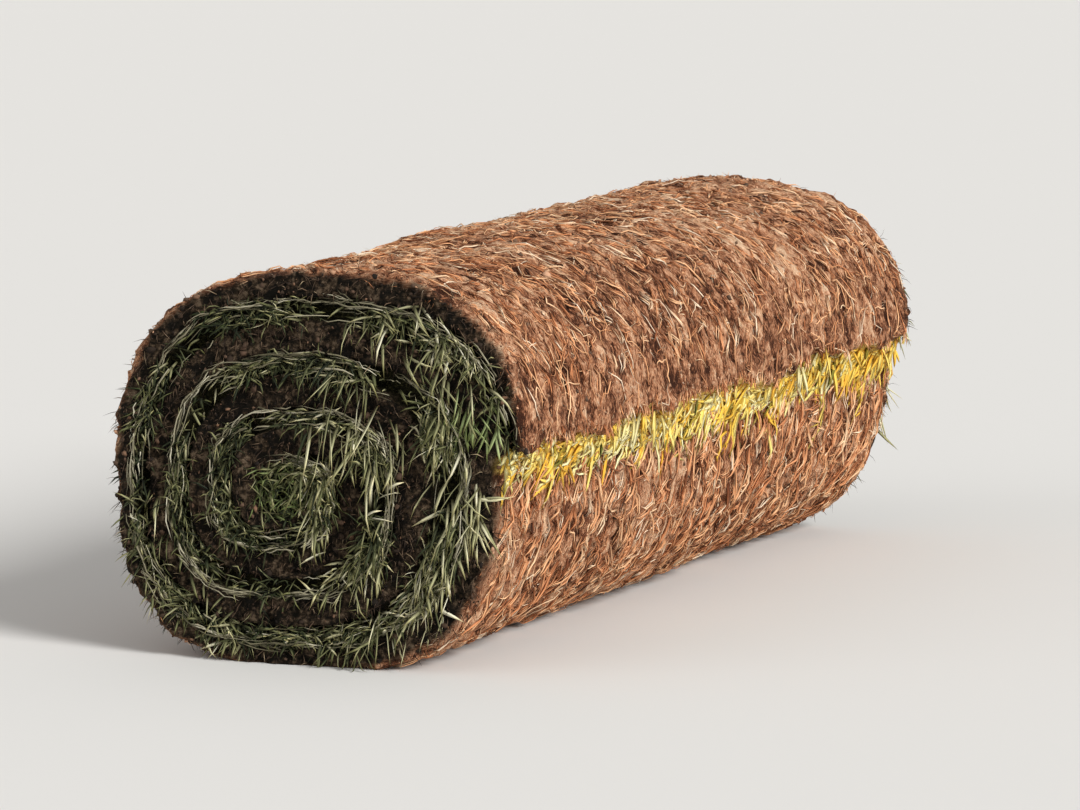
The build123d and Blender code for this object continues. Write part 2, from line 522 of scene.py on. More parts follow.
def shapeSoil(mesh):
    # returns the moved points, and how far each belongs to a cut end
    look = soilBody
    points = readOut(mesh.vertices, "co", width=3).astype(float)
    number, depth, room = bandAt(points[:, [0, 2]])
    side, reach = np.sign(points[:, 1]), np.abs(points[:, 1])
    crumble = noiseAt(points, 0.012, 1) * 0.6 + noiseAt(points, 0.005, 2) * 0.5
    ended = eased((reach - look["endFrom"]) / 0.006)
    rimmed = np.where(number < oneTurn, eased((depth - 0.001 + crumble * 0.003) / 0.004), 1)
    weight = ended * rimmed

    # the bands of grass, the cut soil between them, and the furrows of the skin
    inGrass = inGrassBand(points, number, depth, room)
    slip = np.where(side < 0, slipOf(turnLine[number], -1), slipOf(turnLine[number], 1)) * (1 - inGrass)
    rough = crumble * look["crumble"] * (1 - 0.4 * inGrass)
    level = roll["endFlat"] - look["hollow"] * inGrass + slip + rough
    isSkin = (number < oneTurn) * (1 - eased((depth - 0.005) / 0.004)) * eased((points[:, 2] - 0.002) / 0.01)
    ridgesAndFurrowShade = furrows(points, number)
    points[:, [0, 2]] -= inwardLine[number] * (ridgesAndFurrowShade * look["groove"] * isSkin)[:, None]
    points[:, 1] = side * (reach * (1 - weight) + level * weight)

    # ragged rims, and the ragged cut edge of the lap
    rim = eased((reach - look["rimFrom"]) / 0.02) * (1 - rimmed)
    points[:, 1] += side * noiseAt(points * [1, 0.1, 1], 0.014, 5) * look["ragged"] * rim
    toLap = np.linalg.norm(points[:, [0, 2]] - (lapCorner * 0.7 + lapInner * 0.3), axis=1)
    nearLap = np.exp(-(toLap / look["raggedReach"]) ** 2)
    points[:, [0, 2]] += slopeLine[0] * (nearLap * raggedLap(points[:, 1]))[:, None]
    points[:, 2] = np.maximum(points[:, 2], 0)
    mesh.vertices.foreach_set("co", points.astype(np.float32).ravel())

    # the dead grass that covers the skin under the lap, painted as bright as grass in sunlight, and the
    # fields that the material reads
    below = wholeRun - runLine[np.minimum(number, oneTurn)]
    patch = noiseAt(points, 0.012, 19) * 0.006
    lapBedPaintedSun = eased((look["lapBedPaintedSun"] + patch - below) / 0.006) * (depth < 0.01)
    belowEdge = (points[:, [0, 2]] - lapCorner) @ slopeLine[0] < raggedLap(points[:, 1]) - 0.001
    lapBedPaintedSun = np.maximum(lapBedPaintedSun, eased((0.013 - toLap) / 0.004)) * belowEdge
    fields = {"cutEnd": weight, "grassBedPaintedShade": inGrass * weight, "ridgesAndFurrowShade": 0.5 + 0.5 * ridgesAndFurrowShade, "lapBedPaintedSun": lapBedPaintedSun}
    for name, values in fields.items():
        layer = mesh.attributes.new(name, "FLOAT", "POINT")
        layer.data.foreach_set("value", values.astype(np.float32))
    mesh.update()
    return points, weight


def mapSoil(mesh, points, weight):
    # its UV map: the skin rolled out, and the two ends beside it
    look = soilLook
    corners = readOut(mesh.loops, "vertex_index", np.int32)
    starts = readOut(mesh.polygons, "loop_start", np.int32)
    totals = readOut(mesh.polygons, "loop_total", np.int32)
    normals = readOut(mesh.polygons, "normal", width=3)
    owner = np.repeat(np.arange(len(starts)), totals)
    weightOfFace = np.add.reduceat(weight[corners], starts) / totals
    isEnd = (weightOfFace > 0.5) & (np.abs(normals[:, 1]) > 0.25)
    outer = np.array([faceTree.find((x, z, 0))[1] for x, z in points[:, [0, 2]]])
    along = runLine[np.minimum(outer, oneTurn)][corners]
    lowest = np.minimum.reduceat(along, starts)[owner]
    highest = np.maximum.reduceat(along, starts)[owner]
    overLap = highest - lowest > wholeRun / 2
    along = np.where(overLap & (along < wholeRun / 2), along + wholeRun, along)
    spots = points[corners]
    skin = np.stack([along + look["skinAt"][0], spots[:, 1] + look["skinAt"][1]], 1)
    endUp = spots[:, 2] + np.where(spots[:, 1] < 0, *look["endsUp"])
    ends = np.stack([spots[:, 0] + rollWidth / 2 + look["endsAt"], endUp], 1)
    place = np.where(isEnd[owner][:, None], ends, skin) / look["mapSpan"]
    uv = mesh.uv_layers.new(name="OFBake")
    uv.data.foreach_set("uv", place.astype(np.float32).ravel())


body = remeshedRoll()
mapSoil(body.data, *shapeSoil(body.data))
body.data.materials.clear()
body.data.materials.append(soilFinish())
selectOnly(body)
bpy.ops.object.shade_smooth()
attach(body, "root")
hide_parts("turf_roll")
print("soil body,", len(body.data.polygons), "faces")


# Its faces, and which of them are skin, and which are cut soil

def bodyFaces():
    mesh = body.data
    mesh.calc_loop_triangles()
    corners = readOut(mesh.loop_triangles, "vertices", np.int32, 3)
    trio = readOut(mesh.vertices, "co", width=3).astype(float)[corners]
    across = np.cross(trio[:, 1] - trio[:, 0], trio[:, 2] - trio[:, 0])
    return trio, trio.mean(1), unit(across), np.linalg.norm(across, axis=1)


bodySurface = BVHTree.FromObject(body, bpy.context.evaluated_depsgraph_get())
trios, middles, facings, areas = bodyFaces()
endZone = 0.29  # beyond this the rims and the cut ends begin
faceNumber, faceDepth, faceRoom = bandAt(middles[:, [0, 2]])
skinDepth = np.where(np.abs(middles[:, 1]) < endZone, 0.011, 0.006)  # the slow sags lie that far in
onSkin = (faceNumber < oneTurn) & (faceDepth < skinDepth) & (middles[:, 2] > 0.004)
onEnd = (np.abs(facings[:, 1]) > 0.35) & (np.abs(middles[:, 1]) > endZone) & ~(onSkin & (faceDepth < 0.0015))
onCut = onEnd & (inGrassBand(middles, faceNumber, faceDepth, faceRoom) < 0.4)


def spotsOn(chance, count, rng):
    # random spots on the soil's faces, with the way they face
    chance = areas * chance
    picked = rng.choice(len(trios), count, p=chance / chance.sum())
    a, b = rng.random(count), rng.random(count)
    over = a + b > 1
    a[over], b[over] = 1 - a[over], 1 - b[over]
    trio = trios[picked]
    spots = trio[:, 0] + (trio[:, 1] - trio[:, 0]) * a[:, None] + (trio[:, 2] - trio[:, 0]) * b[:, None]
    return spots, facings[picked]


# The mat of fine roots that covers the soil: a short fuzz, locks that hang down the sides, long threads,
# pale wisps below the lap, and short roots at its edge

rootTints = [
    (0.0, "4a2a1b"),
    (0.2, "9b5f3c"),
    (0.42, "dd9565"),
    (0.66, "f8be8b"),
    (0.88, "ffdbb1"),
    (1.0, "fde8cb"),
]
rootFinish = sliverFinish("rootHair", rootTints, "a08a7c", "ffffff", 0.85)
sunk = 0.0008  # how deep in the soil fuzz and hair roots start

rootFuzz = {
    "count": 12000,  # on each half
    "tufts": 2600,
    "length": (0.003, 0.007),
    "tuftLength": (0.004, 0.009),
    "tuftNarrow": 2.2,  # how many times longer than wide a tuft is
    "tuftPull": (0.2, 0.8),
    "width": (0.0003, 0.0007),
    "taper": (1,),
    "keel": 0.5,  # how thick the roots are, as a share of their width
    "lift": 0.10,
    "stray": 0.7,
    "swirl": 1.1,
    "tuftTint": (0.50, 0.22),
    "ownTint": 0.13,
    # roots paler on the ridges and darker in the furrows: painted shade in the furrows
    "furrowShadeTint": 0.6,
    "strawShare": 0.006,  # pale bits of dry grass among them
    "strawWidth": 0.0011,
}


def strayAlong(facing, rng):
    stray = rng.normal(size=facing.shape)
    return stray - facing * (stray * facing).sum(1)[:, None]


def patchTint(points):
    # some patches of the mat are paler than others
    return noiseAt(points, 0.03, 16) * 0.2 + noiseAt(points, 0.11, 28) * 0.22


def onRidges(points, number):
    # the roots cling to the ridges, and leave the furrows bare
    return 0.25 + eased(0.55 + furrows(points, number))


def makeRootFuzz(name, half, seed):
    look = rootFuzz
    rng = np.random.default_rng(seed)
    count, tufts = look["count"], look["tufts"]
    grown = eased(noiseAt(middles[half], 0.02, seed) * 1.6 + noiseAt(middles[half], 0.006, seed) + 0.75)
    density = np.zeros(len(middles))
    density[half] = (0.35 + 0.8 * grown) * onRidges(middles[half], faceNumber[half])
    spots, facing = spotsOn(density, count, rng)
    number = bandAt(spots[:, [0, 2]])[0]
    slope = slopeLine[number]
    flow = inSpace(slope, np.zeros(count)) * np.where(slope[:, 1] > 0, -1, 1)[:, None]

    # each root has its own way, and is pulled towards the tip of its tuft
    centre = rng.choice(count, tufts, replace=False)
    tuft = nearestOf(spots, spots[centre], np.array([1, look["tuftNarrow"], 1]))
    lift = look["lift"] * 2 * rng.random(count)[:, None]
    own = unit(flow + strayAlong(facing, rng) * look["stray"] * 1.7 + facing * lift)
    ownTips = spots + own * rng.uniform(*look["length"], count)[:, None]
    swirl = noiseAt(spots[centre], 0.03, 15)[:, None] * np.cross(facing[centre], flow[centre]) * look["swirl"]
    stray = strayAlong(facing[centre], rng) * look["stray"]
    shared = unit(flow[centre] + swirl + stray + facing[centre] * look["lift"])
    tuftTips = spots[centre] + shared * rng.uniform(*look["tuftLength"], tufts)[:, None]
    pull = rng.uniform(*look["tuftPull"], tufts)[tuft] * rng.uniform(0.5, 1, count)
    tips = ownTips + (tuftTips[tuft] - ownTips) * pull[:, None]

    lengths = np.clip(np.linalg.norm(tips - spots, axis=1), look["length"][0], look["tuftLength"][1])
    bends = rng.normal(size=spots.shape) * 0.5 - facing * 0.1
    widths = rng.uniform(*look["width"], count)
    tints = rng.normal(*look["tuftTint"], tufts)[tuft] + rng.normal(0, look["ownTint"], count)
    tints += patchTint(spots) + furrows(spots, number) * look["furrowShadeTint"]
    isStraw = rng.random(count) < look["strawShare"]
    tints[isStraw], widths[isStraw] = 1.0, look["strawWidth"]
    spines = bentSpines(look, spots - facing * sunk, unit(tips - spots), bends, lengths)
    growSlivers(name, look, spines, widths, tints, rng, rootFinish)


fuzzSeam = -0.02  # the X at which the two halves of the fuzz meet
makeRootFuzz("rootFuzzLapSide", onSkin & (middles[:, 0] > fuzzSeam), 11)
makeRootFuzz("rootFuzzFarSide", onSkin & (middles[:, 0] <= fuzzSeam), 12)

skinHalf = 0.3  # lines over the skin end this far out, on both sides
rimStep = 0.0004  # each of their points that much nearer, so that no two of them meet at the rim


def linesOverSkin(look, run, y, way, rng):
    # lines that wind over the skin, some strands to each start and heading
    count, strands, rings = look["count"], look["strands"], len(look["taper"])
    step = rng.uniform(*look["length"], count) / rings
    height = rng.uniform(*look["height"], count * strands)
    offsets = rng.normal(0, 1, (count, strands, 2)) * look["spread"]
    lines = []
    for ring in range(rings + 1):
        spread = offsets * (1 - look["gather"] * ring / rings)
        edge = skinHalf - rimStep * ring
        across = np.clip(y[:, None] + spread[..., 1], -edge, edge).ravel()
        number = np.searchsorted(runLine, np.clip(run[:, None] + spread[..., 0], 0, wholeRun).ravel())
        spots = inSpace(faceLine[number], across)
        hits = [bodySurface.find_nearest(spot) for spot in spots.tolist()]
        arch = np.sin(pi * (ring + 0.4) / (rings + 0.8))
        lines.append(np.array([hit[0] + hit[1] * lift for hit, lift in zip(hits, (height * arch).tolist())]))
        way = way + rng.normal(0, look["winding"], count)
        run, y = run + np.cos(way) * step, y + np.sin(way) * step
    return np.stack(lines, 1)


rootLocks = {
    "seed": 14,
    "count": 3750,
    "strands": 3,
    "length": (0.005, 0.021),
    "width": (0.0004, 0.0009),
    "taper": (0.7, 1, 0.8),
    "keel": 0.5,
    "spread": 0.0011,  # how far apart the strands of a lock start
    "gather": 0.8,  # how far they have met at its tip
    "winding": 0.38,
    "slant": 0.42,
    "height": (0.0004, 0.0024),
    "tint": (0.56, 0.27),
    "ownTint": 0.12,
    "clearOfLap": (0.03, 0.006),  # how far above and below its edge the locks start
    "within": 0.297,
}


def makeRootLocks():
    look = rootLocks
    rng = np.random.default_rng(look["seed"])
    above, below = look["clearOfLap"]
    run = rng.uniform(above, wholeRun - below, look["count"] * 3)
    y = rng.uniform(-look["within"], look["within"], len(run))
    number = np.searchsorted(runLine, run)
    spots = inSpace(faceLine[number], y)
    chance = onRidges(spots, number) * (spots[:, 2] > 0.008)  # none under the roll
    kept = rng.choice(len(run), look["count"], replace=False, p=chance / chance.sum())
    run, y, number = run[kept], y[kept], number[kept]
    swirl = noiseAt(spots[kept], 0.05, 17) * 0.6 + noiseAt(spots[kept], 0.016, 18) * 0.7
    way = np.where(slopeLine[number, 1] > 0, pi, 0) + swirl + rng.normal(0, look["slant"], look["count"])
    tints = rng.normal(*look["tint"], look["count"]) + patchTint(spots[kept])
    tints = tints.repeat(look["strands"])
    tints += rng.normal(0, look["ownTint"], len(tints))
    widths = rng.uniform(*look["width"], len(tints))
    lines = linesOverSkin(look, run, y, way, rng)
    growSlivers("rootLocks", look, lines, widths, tints, rng, rootFinish)


rootThreads = {
    "seed": 13,
    "count": 1520,
    "strands": 1,
    "length": (0.012, 0.046),
    "width": (0.0004, 0.0009),
    "taper": (0.8, 1, 1, 1, 1, 0.8),
    "keel": 0.6,
    "spread": 0.0,
    "gather": 0.0,
    "winding": 0.55,
    "slant": 0.8,
    "height": (0.0004, 0.0020),
    "tint": (0.66, 0.2),
    "clearOfLap": (0.004, 0.03),
    "within": 0.296,
}


def makeRootThreads():
    look = rootThreads
    rng = np.random.default_rng(look["seed"])
    count, (above, below) = look["count"], look["clearOfLap"]
    run = rng.uniform(above, wholeRun - below, 2 * count)
    run = run[faceLine[np.searchsorted(runLine, run), 1] > 0.004][:count]  # none under the roll
    y = rng.uniform(-look["within"], look["within"], count)
    way = rng.normal(0, look["slant"], count) + rng.integers(0, 2, count) * pi
    widths = rng.uniform(*look["width"], count)
    tints = rng.normal(*look["tint"], count)
    lines = linesOverSkin(look, run, y, way, rng)
    growSlivers("rootThreads", look, lines, widths, tints, rng, rootFinish)


rootWisps = {
    "seed": 19,
    "count": 400,
    "strands": 2,
    "length": (0.013, 0.034),
    "width": (0.0007, 0.0015),
    "taper": (0.7, 1, 1, 0.7),
    "keel": 0.4,
    "flatTo": (2, -1.2, 0.5),
    "spread": 0.0016,
    "gather": 0.7,
    "winding": 0.30,
    "slant": 0.3,
    "height": (0.0008, 0.0030),
    "tint": (0.52, 0.18),
    "ownTint": 0.08,
    "below": (0.006, 0.105),  # how far under the lap they start
    "within": 0.296,
}


def makeRootWisps():
    # long pale roots that hang down below the lap
    look = rootWisps
    rng = np.random.default_rng(look["seed"])
    count, strands, within = look["count"], look["strands"], look["within"]
    nearest, farthest = look["below"]
    run = wholeRun - nearest - (farthest - nearest) * rng.beta(1, 1.3, count)
    y = -within + 2 * within * rng.beta(1.25, 1, count)
    way = pi + rng.normal(0, look["slant"], count) + lineNoise(y, 0.04, 20) * 0.5
    widths = rng.uniform(*look["width"], count * strands)
    tints = rng.normal(*look["tint"], count).repeat(strands)
    tints += rng.normal(0, look["ownTint"], count * strands)
    lines = linesOverSkin(look, run, y, way, rng)
    growSlivers("rootWisps", look, lines, widths, tints, rng, rootFinish, look["flatTo"])


lapRoots = {
    "seed": 20,
    "count": 420,
    "locks": 110,
    "length": (0.004, 0.012),
    "width": (0.0005, 0.0011),
    "taper": (1, 0.8),
    "keel": 0.5,
    "lockLean": 0.5,
    "ownLean": 0.3,
    "lockTint": (0.5, 0.2),
    "ownTint": 0.1,
    "within": (0.298, 0.302),  # how far out the middles of the locks are at most, and the roots themselves
}


def makeLapRoots():
    # short brown roots that hang from the edge of the lap over its grass
    look = lapRoots
    rng = np.random.default_rng(look["seed"])
    count, locks, (within, outmost) = look["count"], look["locks"], look["within"]
    lockMiddles = np.sort(rng.uniform(-within, within, locks))
    lock = rng.integers(0, locks, count)
    y = np.clip(lockMiddles[lock] + rng.normal(0, 0.0022, count), -outmost, outmost)
    up = raggedLap(y) * 0.9 + rng.uniform(0.0005, 0.004, count)
    starts = inSpace(lapCorner + slopeLine[0] * up[:, None], y)
    roots = np.array([bodySurface.find_nearest(start)[0] for start in starts.tolist()])
    out = rng.uniform(0.0, 0.35, count)
    lean = rng.normal(0, look["lockLean"], locks)[lock] + rng.normal(0, look["ownLean"], count)
    aims = unit(inSpace(np.stack([out, np.zeros(count)], 1) - slopeLine[0], lean))
    bends = rng.normal(size=(count, 3)) * 0.4 - [0.3, 0, 0.4]
    lengths = rng.uniform(*look["length"], locks)[lock] * rng.uniform(0.6, 1, count)
    tints = rng.normal(*look["lockTint"], locks)[lock] + rng.normal(0, look["ownTint"], count)
    widths = rng.uniform(*look["width"], count)
    spines = bentSpines(look, roots, aims, bends, lengths)
    growSlivers("lapRoots", look, spines, widths, tints, rng, rootFinish)


makeRootLocks()
makeRootThreads()
makeRootWisps()
makeLapRoots()


# The hair roots in the cut soil of both ends

cutRoots = {
    "seed": 15,
    "count": 4600,
    "length": (0.003, 0.011),
    "width": (0.00025, 0.00065),
    "taper": (1, 0.8),
    "keel": 0.6,
    "tint": (0.4, 0.25),
    "tints": [(0.0, "221912"), (0.4, "4a392b"), (0.75, "7b6550"), (1.0, "b8a382")],
}


def makeCutRoots():
    look = cutRoots
    rng = np.random.default_rng(look["seed"])
    count = look["count"]
    spots, facing = spotsOn(onCut, count, rng)
    out = facing * rng.uniform(0.1, 0.9, count)[:, None]
    aims = unit(out + rng.normal(size=spots.shape) * [0.6, 0.2, 0.6] - [0, 0, 0.45])
    bends = rng.normal(size=spots.shape) * 0.4 - [0, 0, 0.8]
    lengths = rng.uniform(*look["length"], count)
    widths = rng.uniform(*look["width"], count)
    tints = rng.normal(*look["tint"], count)
    spines = bentSpines(look, spots - facing * sunk, aims, bends, lengths)
    finish = sliverFinish("cutRoot", look["tints"], "8a7466", "ffffff", 0.8)
    growSlivers("cutRoots", look, spines, widths, tints, rng, finish)


makeCutRoots()


# Crumbs and grit on the skin and on the cut ends

crumbs = {
    "count": 2400,
    "size": (0.0009, 0.0025),
    "skinShare": 1.2,  # how thickly they lie on the skin
    "cutShare": 7.0,  # and on the cut soil
    "skinTints": (0.5, 1),
    # the crumbs on the cut ends take the darker tints: dark soil, darkened further as painted shade like the
    # cut soil
    "cutTints": (0, 0.72),
    "tints": [(0.0, "17110c"), (0.4, "382b20"), (0.62, "5e493a"), (0.8, "9a7358"), (1.0, "d0a281")],
}
grit = {
    "count": 10500,
    "size": (0.0004, 0.0012),
    "skinShare": 2.2,
}
# each crumb's lower half is darkened towards c0b0a0: painted shade on its underside
crumbFinish = sliverFinish("soilCrumb", crumbs["tints"], "c0b0a0", "ffffff", 0.9)


def makeCrumbs(name, model, look, seed):
    # uneven copies of the model, which is then removed
    rng = np.random.default_rng(seed)
    count, (smallest, largest) = look["count"], look["size"]
    spots = spotsOn(onSkin * look["skinShare"] + onCut * crumbs["cutShare"], count, rng)[0]
    shape = np.array([vertex.co[:] for vertex in model.data.vertices])
    sides = np.array([face.vertices[:] for face in model.data.polygons])
    bpy.data.objects.remove(model)
    size = smallest + (largest - smallest) * rng.random(count) ** 2.2
    uneven = rng.uniform(0.45, 1.3, (count, len(shape), 1))
    squash = rng.uniform(0.5, 1.2, (count, 1, 3))
    points = offFloor(shape[None] * uneven * squash * size[:, None, None] + spots[:, None])
    number, depth = bandAt(spots[:, [0, 2]])[:2]
    isCut = (np.abs(spots[:, 1]) > endZone) & ((number >= oneTurn) | (depth > 0.003))
    cutTints, skinTints = rng.uniform(*crumbs["cutTints"], count), rng.uniform(*crumbs["skinTints"], count)
    cellMiddle = np.floor(np.where(isCut, cutTints, skinTints) * tintCells)[:, None] + 0.5
    acrossMap = (cellMiddle + 0.42 * shape[None, :, 0]) / tintCells
    # up the map is up the crumb, so its lower half takes the painted shade
    upMap = 0.5 + 0.49 * np.repeat(shape[None, :, 2], count, 0)
    places = np.stack([acrossMap, upMap], -1).reshape(-1, 2)
    triangles = copiesOf(sides, len(shape), count)
    pieceFromTriangles(name, points.reshape(-1, 3), triangles, places, crumbFinish)


bpy.ops.object.select_all(action="DESELECT")
bpy.ops.mesh.primitive_ico_sphere_add(subdivisions=1, radius=1)
makeCrumbs("soilCrumbs", bpy.context.object, crumbs, 17)
bpy.ops.mesh.primitive_cone_add(vertices=4, radius1=1, radius2=0, depth=1.5, end_fill_type="TRIFAN")
makeCrumbs("soilGrit", bpy.context.object, grit, 18)


# The pressed grass that bristles out of both ends

endGrassPaintedShade = {
    "count": 5000,
    "length": (0.005, 0.015),
    "hangLength": (0.012, 0.030),
    "width": (0.0007, 0.0017),
    "hangWidth": (0.0010, 0.0021),
    "taper": (0.8, 1, 0.7),
    "keel": 0.28,
    "flatTo": (1.4, 0.3),  # outwards and up
    "start": 0.007,  # how far behind the cut soil the roots lie
    "eyeCount": 380,
    # darker and greyer than the same grass in sun: painted shade over the whole end
    "tints": [
        (0.0, "eee9cf"),
        (0.11, "d3cea4"),
        (0.26, "a4a277"),
        (0.44, "71734b"),
        (0.62, "494e31"),
        (0.77, "303721"),
        (0.88, "1e2513"),
        (0.92, "68783f"),  # from here on the fresh green blades
        (1.0, "b4c088"),
    ],
    "dryTints": 0.88,  # the share of the tints that isn't fresh green
    "freshTints": (0.92, 0.96),
    "freshInEye": 0.35,
    "strawShare": 0.2,  # the blades that are pale
    "strawTints": (0.0, 0.35),
    "tint": (0.6, 0.2),
    # shares of the blades by their kind, on the tight left, and what the slack right adds to them
    "lying": (0.40, -0.18),  # along the band
    "hanging": (0.30, 0.10),  # down, in long blades
    "strewn": (0.60, 0.23),  # past this share, any way over the cut soil
    "overRim": 0.45,  # of the outermost blades on the left, which reach over the rim
    # sprays of longer blades: X, Z, their spread, how many, length, the way they point in degrees,
    # their fan, tints and width
    "sprays": [
        (0.093, 0.094, 0.010, 36, (0.016, 0.034), -98, 32, (0.02, 0.30), (0.0014, 0.0024)),
        (0.080, 0.156, 0.014, 40, (0.010, 0.024), -62, 28, (0.10, 0.52), (0.0011, 0.0020)),
        (0.090, 0.139, 0.008, 34, (0.010, 0.024), -86, 34, (0.93, 1.0), (0.0012, 0.0022)),
        (0.052, 0.184, 0.010, 20, (0.010, 0.022), -75, 45, (0.04, 0.31), (0.0012, 0.0020)),
        (0.026, 0.128, 0.014, 26, (0.018, 0.040), -88, 18, (0.04, 0.32), (0.0011, 0.0020)),
        (0.030, 0.086, 0.007, 5, (0.014, 0.024), 30, 30, (0.0, 0.05), (0.0018, 0.0026)),
        (0.056, 0.026, 0.008, 4, (0.010, 0.020), 48, 25, (0.0, 0.05), (0.0018, 0.0026)),
        (-0.060, 0.040, 0.030, 8, (0.012, 0.026), -140, 50, (0.0, 0.13), (0.0011, 0.0018)),
        (-0.096, 0.066, 0.014, 24, (0.009, 0.021), -120, 40, (0.24, 0.52), (0.0011, 0.0018)),
        (-0.062, 0.026, 0.016, 24, (0.009, 0.021), -100, 45, (0.22, 0.50), (0.0011, 0.0018)),
        (0.052, 0.036, 0.020, 44, (0.009, 0.020), -92, 10, (0.02, 0.28), (0.0005, 0.0009)),
    ],
    "sprayDepth": 0.012,  # no spray starts nearer than this to the outermost skin
}
endGrassShadedFinish = sliverFinish("endGrassPaintedShade", endGrassPaintedShade["tints"], "5c583c", "fff2cc", 0.6)


def sprayedBlades(side, rng):
    # roots, aims, lengths, widths and tints of the sprays
    rows = []
    for x, z, spread, count, length, way, fan, tint, width in endGrassPaintedShade["sprays"]:
        turned = np.radians(rng.normal(way, fan, count))
        spots = np.array([x, 0, z]) + rng.normal(size=(count, 3)) * [spread, 0.001, spread]
        number, depth = bandAt(spots[:, [0, 2]])[:2]
        short = np.maximum(endGrassPaintedShade["sprayDepth"] - depth, 0) * (number < oneTurn)
        spots[:, [0, 2]] += inwardLine[number] * short[:, None]
        spots[:, 1] += side * (roll["endFlat"] + 0.001)
        out = rng.uniform(0.15, 0.7, count)
        aims = unit(np.stack([np.cos(turned), side * out, np.sin(turned)], 1))
        picked = [rng.uniform(*span, count) for span in (length, width, tint)]
        rows.append(np.column_stack([spots, aims] + picked))
    rows = np.concatenate(rows)
    return rows[:, :3], rows[:, 3:6], rows[:, 6], rows[:, 7], rows[:, 8]


def makeEndGrass(name, side, seed):
    look = endGrassPaintedShade
    rng = np.random.default_rng(seed)
    inBands, inEyes = look["count"], look["eyeCount"]
    patchy = 0.7 + 1.4 * lineNoise(runLine, 0.045, seed) + 0.9 * lineNoise(runLine, 0.012, seed)
    chance = grassLine ** 0.7 * np.gradient(runLine) * np.clip(patchy, 0.06, None)
    number = rng.choice(len(turnLine), inBands, p=chance / chance.sum())
    depth = soilLine[number] + grassLine[number] * rng.beta(1.0, 1.3, inBands)
    base = faceLine[number] + inwardLine[number] * depth[:, None]
    eyeAngle = rng.uniform(0, 2 * pi, inEyes)
    fan = np.stack([np.cos(eyeAngle), np.sin(eyeAngle)], 1)
    fromEye = np.sqrt(rng.random(inEyes)) * roll["eyeTuft"]
    base = np.concatenate([base, eyeSpot + fan * fromEye[:, None]])
    inward = np.concatenate([inwardLine[number], fan])
    slope = np.concatenate([slopeLine[number], np.stack([-fan[:, 1], fan[:, 0]], 1)])
    count = len(base)

    # pressed flat on the tight left, and hanging down in long blades on the slack right
    slack = eased((base[:, 0] - eyeSpot[0] + 0.02) / 0.07)
    kind = rng.random(count)
    isLying = kind < look["lying"][0] + look["lying"][1] * slack
    isStrewn = kind > look["strewn"][0] + look["strewn"][1] * slack
    isHanging = ~isLying & (kind < look["hanging"][0] + look["hanging"][1] * slack)
    isOver = (number < oneTurn) & (base[:inBands, 0] < -0.04) & (rng.random(inBands) < look["overRim"])
    isOver = np.append(isOver, np.zeros(inEyes, bool)) & (base[:, 1] < 0.14)
    flatOut, steepOut = rng.uniform(0.05, 0.45, count), rng.uniform(0.35, 1.1, count)
    out = np.where(isLying | isStrewn, flatOut, steepOut)
    lyingAcross, strayAcross = rng.normal(0, 0.35, count), rng.normal(0, 0.45, count)
    across = np.where(isLying, lyingAcross, strayAcross + isStrewn * rng.normal(0, 0.8, count))
    across = np.where(isOver, rng.uniform(-1.4, -0.5, count), across)
    along = np.where(isLying, rng.choice([-1.0, 1.0], count), rng.normal(0, 0.6, count))
    flat = inward * across[:, None] + slope * along[:, None]
    flat[isHanging] = rng.normal(size=(isHanging.sum(), 2)) * [0.4, 0.3] - [0, 0.8]
    aims = unit(inSpace(flat, side * out))
    bends = rng.normal(size=(count, 3)) * 0.38
    bends[:, 2] -= np.where(isLying, 0.25, rng.uniform(0.4, 1.4, count))
    bends[:, 1] -= side * out * 0.5
    behind = rng.random(count) * look["start"] - np.where(isLying, 0.003, 0.001)
    slip = slipOf(turnLine[np.append(number, np.full(inEyes, number[0]))], side)
    roots = inSpace(base, side * (roll["endFlat"] - behind + slip * 0.5))
    longest, lengths = rng.uniform(*look["hangLength"], count), rng.uniform(*look["length"], count)
    lengths = np.where(isHanging, longest, lengths) * (1 + 0.15 * isStrewn + 0.25 * isOver)
    broadest, widths = rng.uniform(*look["hangWidth"], count), rng.uniform(*look["width"], count)
    widths = np.where(isHanging, broadest, widths)

    # pale straw, dull green, and fresh green in the eye; the blades on the tight left are darker, as painted
    # shade, and the hanging ones on the slack right paler
    strawTints, tints = rng.uniform(*look["strawTints"], count), rng.normal(*look["tint"], count)
    tints = np.where(kind < look["strawShare"], strawTints, tints)
    tints += 0.14 * (1 - slack) - 0.16 * slack * isHanging + noiseAt(roots, 0.025, seed) * 0.35
    inEye = np.arange(count) >= inBands
    tints = np.clip(tints + 0.12 * inEye, 0, 1) * look["dryTints"]
    isFresh = inEye & (rng.random(count) < look["freshInEye"])
    tints[isFresh] = rng.uniform(*look["freshTints"], isFresh.sum())

    extra, extraAims, extraLengths, extraWidths, extraTints = sprayedBlades(side, rng)
    extraBends = rng.normal(size=extra.shape) * 0.3 - [0, 0, 0.4]
    extraBends[:, 1] -= side * 0.35
    roots, aims = np.concatenate([roots, extra]), np.concatenate([aims, extraAims])
    bends, lengths = np.concatenate([bends, extraBends]), np.append(lengths, extraLengths)
    widths, tints = np.append(widths, extraWidths), np.append(tints, extraTints)
    outwards, up = look["flatTo"]
    spines = bentSpines(look, roots, aims, bends, lengths)
    growSlivers(name, look, spines, widths, tints, rng, endGrassShadedFinish, (0, side * outwards, up))


makeEndGrass("grassFront", -1, 21)
makeEndGrass("grassBack", 1, 22)


# The thatch: pale dead stems pressed flat along the turns, where the grass meets the soil

thatch = {
    "count": 660,
    "length": (0.008, 0.036),
    "width": (0.0005, 0.0012),
    "taper": (0.6, 1, 1, 0.7),
    "keel": 0.4,
    "lift": (-0.002, 0.0045),
    "inGrassShare": 0.25,  # the stems that lie deeper in the grass
    "tint": (0.5, 0.25),
    "tints": [(0.0, "3e3a2a"), (0.35, "6e6850"), (0.7, "a19a80"), (1.0, "d6cfb6")],
}
thatchFinish = sliverFinish("thatch", thatch["tints"], "ffffff", "ffffff", 0.7)


